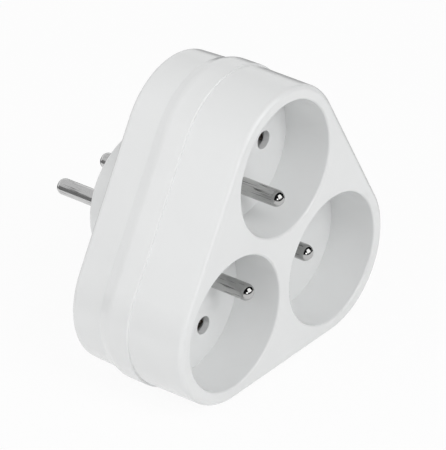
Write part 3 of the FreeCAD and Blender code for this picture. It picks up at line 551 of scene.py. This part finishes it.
screw = driven_head(turned("screw", SCREW_PROFILE, SCREW_SIDES))
screws = grow("screws", screw, screw_tree(zinc_plated_steel()), {
    "Ring radius": SCREW_RING * MM, "First angle": -math.pi / 2,
    "Head depth": (SCREW_SEAT - HEAD_HEIGHT) * MM,
    "Thread start": (THREAD_START - SCREW_SEAT + HEAD_HEIGHT) * MM,
    "Thread length": (THREAD_END - THREAD_START) * MM, "Pitch": THREAD_PITCH * MM,
    "Thread radius": THREAD_RADIUS * MM, "Thread height": THREAD_HEIGHT * MM})
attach(screws, "root")
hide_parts("housing_screws")


# Studio, in metres: a plain white floor under the adapter, a white room, three soft lamps, and
# glowing cards that only show as reflections, mostly in the metal: painted reflections.

FLOOR_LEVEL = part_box("rear_shell")[0].z
FLOOR_WIDTH = 8.0
# How much of the floor's own white the camera sees; the rest takes the light and the shadow
PLAIN_SHARE = 0.93
ROOM_LIGHT = 0.54
WHITE = (1.0, 1.0, 1.0, 1.0)


def seen_directly(tree):
    """1 for what the camera sees, also by way of a reflection or through glass."""
    path = add(tree, "ShaderNodeLightPath").outputs
    either = add(tree, "ShaderNodeMath", {"operation": "MAXIMUM"},
                 {0: path["Is Camera Ray"], 1: path["Is Glossy Ray"]})
    return add(tree, "ShaderNodeMath", {"operation": "MAXIMUM"},
               {0: either.outputs[0], 1: path["Is Transmission Ray"]}).outputs[0]


def floor_finish():
    """White paper. It shows as plain white, and keeps a faint shadow of what stands on it."""
    material, tree, _ = new_finish("white studio paper")
    share = add(tree, "ShaderNodeMath", {"operation": "MULTIPLY"},
                {0: seen_directly(tree), 1: PLAIN_SHARE})
    paper = add(tree, "ShaderNodeBsdfDiffuse", None, {"Color": linear("#F4F4F4")})
    plain = add(tree, "ShaderNodeEmission", None, {"Color": WHITE, "Strength": 1.0})
    close_finish(tree, add(tree, "ShaderNodeMixShader", None,
                           {0: share.outputs[0], 1: paper.outputs[0], 2: plain.outputs[0]}))
    return material


def flat_panel(name, middle, across, upward, width, height, material):
    """A flat panel round a middle, with its sides along two directions."""
    across = Vector(across).normalized() * width / 2
    upward = Vector(upward).normalized() * height / 2
    middle = Vector(middle)
    corners = [middle - across - upward, middle + across - upward,
               middle + across + upward, middle - across + upward]
    mesh = bpy.data.meshes.new(name)
    mesh.from_pydata([tuple(corner) for corner in corners], [], [(0, 1, 2, 3)])
    mesh.materials.append(material)
    panel = put(name, mesh)
    return panel


ALONG_X = (1.0, 0.0, 0.0)
ALONG_Y = (0.0, 1.0, 0.0)
ALONG_Z = (0.0, 0.0, 1.0)
flat_panel("floor", (0.0, 0.0, FLOOR_LEVEL), ALONG_X, ALONG_Y, FLOOR_WIDTH, FLOOR_WIDTH,
           floor_finish())


def card_finish(name, colour, strength):
    """Card that glows and is seen only where something mirrors it: a painted reflection, which
    lights nothing.
    """
    material, tree, _ = new_finish(name)
    close_finish(tree, add(tree, "ShaderNodeEmission", None,
                           {"Color": linear(colour), "Strength": strength}))
    return material


# Dark and grey cards that glow faintly and are seen only in reflections: painted reflections of a
# dark room round the camera, mostly in the metal.
dark = card_finish("dark painted reflection card", "#1A1A1C", 1.0)
grey = card_finish("pale grey card", "#E4E4E4", 1.0)
shade = card_finish("mid grey card", "#848484", 1.0)
# Two white cards that glow though they are no lamps, seen only in reflections: painted highlights,
# one in the pins' domed tips and one along the housing's seam and front edge.
painted_highlight = card_finish("painted_highlight", "#FFFFFF", 1.8)
painted_edge_highlight = card_finish("painted edge highlight card", "#FFFFFF", 3.0)
# A card that lies down is half a millimetre above the floor
ON_FLOOR = FLOOR_LEVEL + 0.0005
# Name, middle, directions of its two sides, width, height, finish
CARDS = [
    ("card_left", (-0.35, 0.23, 0.055), (0.53, 0.85, 0.0), ALONG_Z, 0.34, 0.18, shade),
    ("card_beside", (-0.305, 0.192, ON_FLOOR), (-0.846, 0.533, 0.0), (0.533, 0.846, 0.0),
     0.52, 0.5, shade),
    ("card_behind", (0.37, 0.29, ON_FLOOR), (0.79, 0.61, 0.0), (-0.61, 0.79, 0.0),
     0.84, 0.7, dark),
    ("card_before", (0.3, -0.95, ON_FLOOR), ALONG_X, ALONG_Y, 3.0, 1.5, dark),
    ("card_overhead", (0.0, -0.5, 1.4), ALONG_X, ALONG_Y, 3.6, 2.4, dark),
    ("card_front", (0.0, -1.7, 0.7), ALONG_X, ALONG_Z, 3.6, 1.4, dark),
    ("card_right", (1.8, -0.6, 0.7), ALONG_Y, ALONG_Z, 2.2, 1.4, dark),
    ("card_near", (-1.8, -0.7, 0.7), ALONG_Y, ALONG_Z, 2.0, 1.4, dark),
    ("card_far", (0.0, 1.9, 1.4), ALONG_X, ALONG_Y, 6.0, 2.3, grey),
    ("card_painted_highlight", (0.2, -0.8, 0.6), ALONG_X, ALONG_Z, 0.85, 1.0, painted_highlight),
    ("card_edge_highlight", (-0.61, -1.0, 0.22), (0.84, -0.51, 0.0), ALONG_Z, 0.35, 0.35, painted_edge_highlight),
]
for row in CARDS:
    card = flat_panel(*row)
    card.visible_camera = False
    card.visible_diffuse = False
    card.visible_transmission = False
    card.visible_shadow = False

# Name, place, side of the square, power in watts
LAMPS = [("soft_box_front", (-0.12, -1.08, 0.6), 0.5, 2.5),
         ("soft_box_high", (-0.25, -0.8, 0.95), 0.5, 2.0),
         ("soft_box_left", (-1.05, 0.3, 0.5), 0.8, 3.0)]
for name, place, side, power in LAMPS:
    lamp = bpy.data.lights.new(name, "AREA")
    lamp.shape = "SQUARE"
    lamp.size = side
    lamp.energy = power
    holder = put(name, lamp)
    holder.location = place
    holder.rotation_euler = (-Vector(place)).to_track_quat("-Z", "Y").to_euler()
    holder.visible_glossy = False

world = bpy.data.worlds.new("white room")
bpy.context.scene.world = world
world.use_nodes = True
room = world.node_tree
room.nodes.clear()
level = add(room, "ShaderNodeMapRange", None,
            {"Value": seen_directly(room), "To Min": ROOM_LIGHT, "To Max": 1.0})
light = add(room, "ShaderNodeBackground", None, {"Color": WHITE, "Strength": level.outputs[0]})
add(room, "ShaderNodeOutputWorld", None, {"Surface": light.outputs[0]})


# Camera: a long lens from the front left and above, as the photograph was taken. Lengths are in
# millimetres again.

AZIMUTH = math.radians(-52.057)
ELEVATION = math.radians(29.916)
# The camera's place, counted from a point this far in front of the plug face
POINT_BEFORE = 52.5
DISTANCE = 993.55
AIM_RIGHT = -16.290
AIM_UP = 6.850
LENS = 290.74
FILM = 36.0

to_eye = Vector((math.sin(AZIMUTH) * math.cos(ELEVATION),
                 -math.cos(AZIMUTH) * math.cos(ELEVATION), math.sin(ELEVATION)))
to_right = Vector((math.cos(AZIMUTH), math.sin(AZIMUTH), 0.0))
to_top = to_eye.cross(to_right)
eye = to_right * AIM_RIGHT + to_top * AIM_UP + to_eye * DISTANCE - Vector((0.0, POINT_BEFORE, 0.0))
camera = bpy.data.cameras.new("camera")
camera.sensor_fit = "VERTICAL"
camera.sensor_height = FILM
camera.lens = LENS
tripod = put("camera", camera)
turn = Matrix((to_right, to_top, to_eye)).transposed()
tripod.matrix_world = Matrix.Translation(eye * MM) @ turn.to_4x4()
bpy.context.scene.camera = tripod
bpy.context.scene.view_settings.view_transform = "Standard"
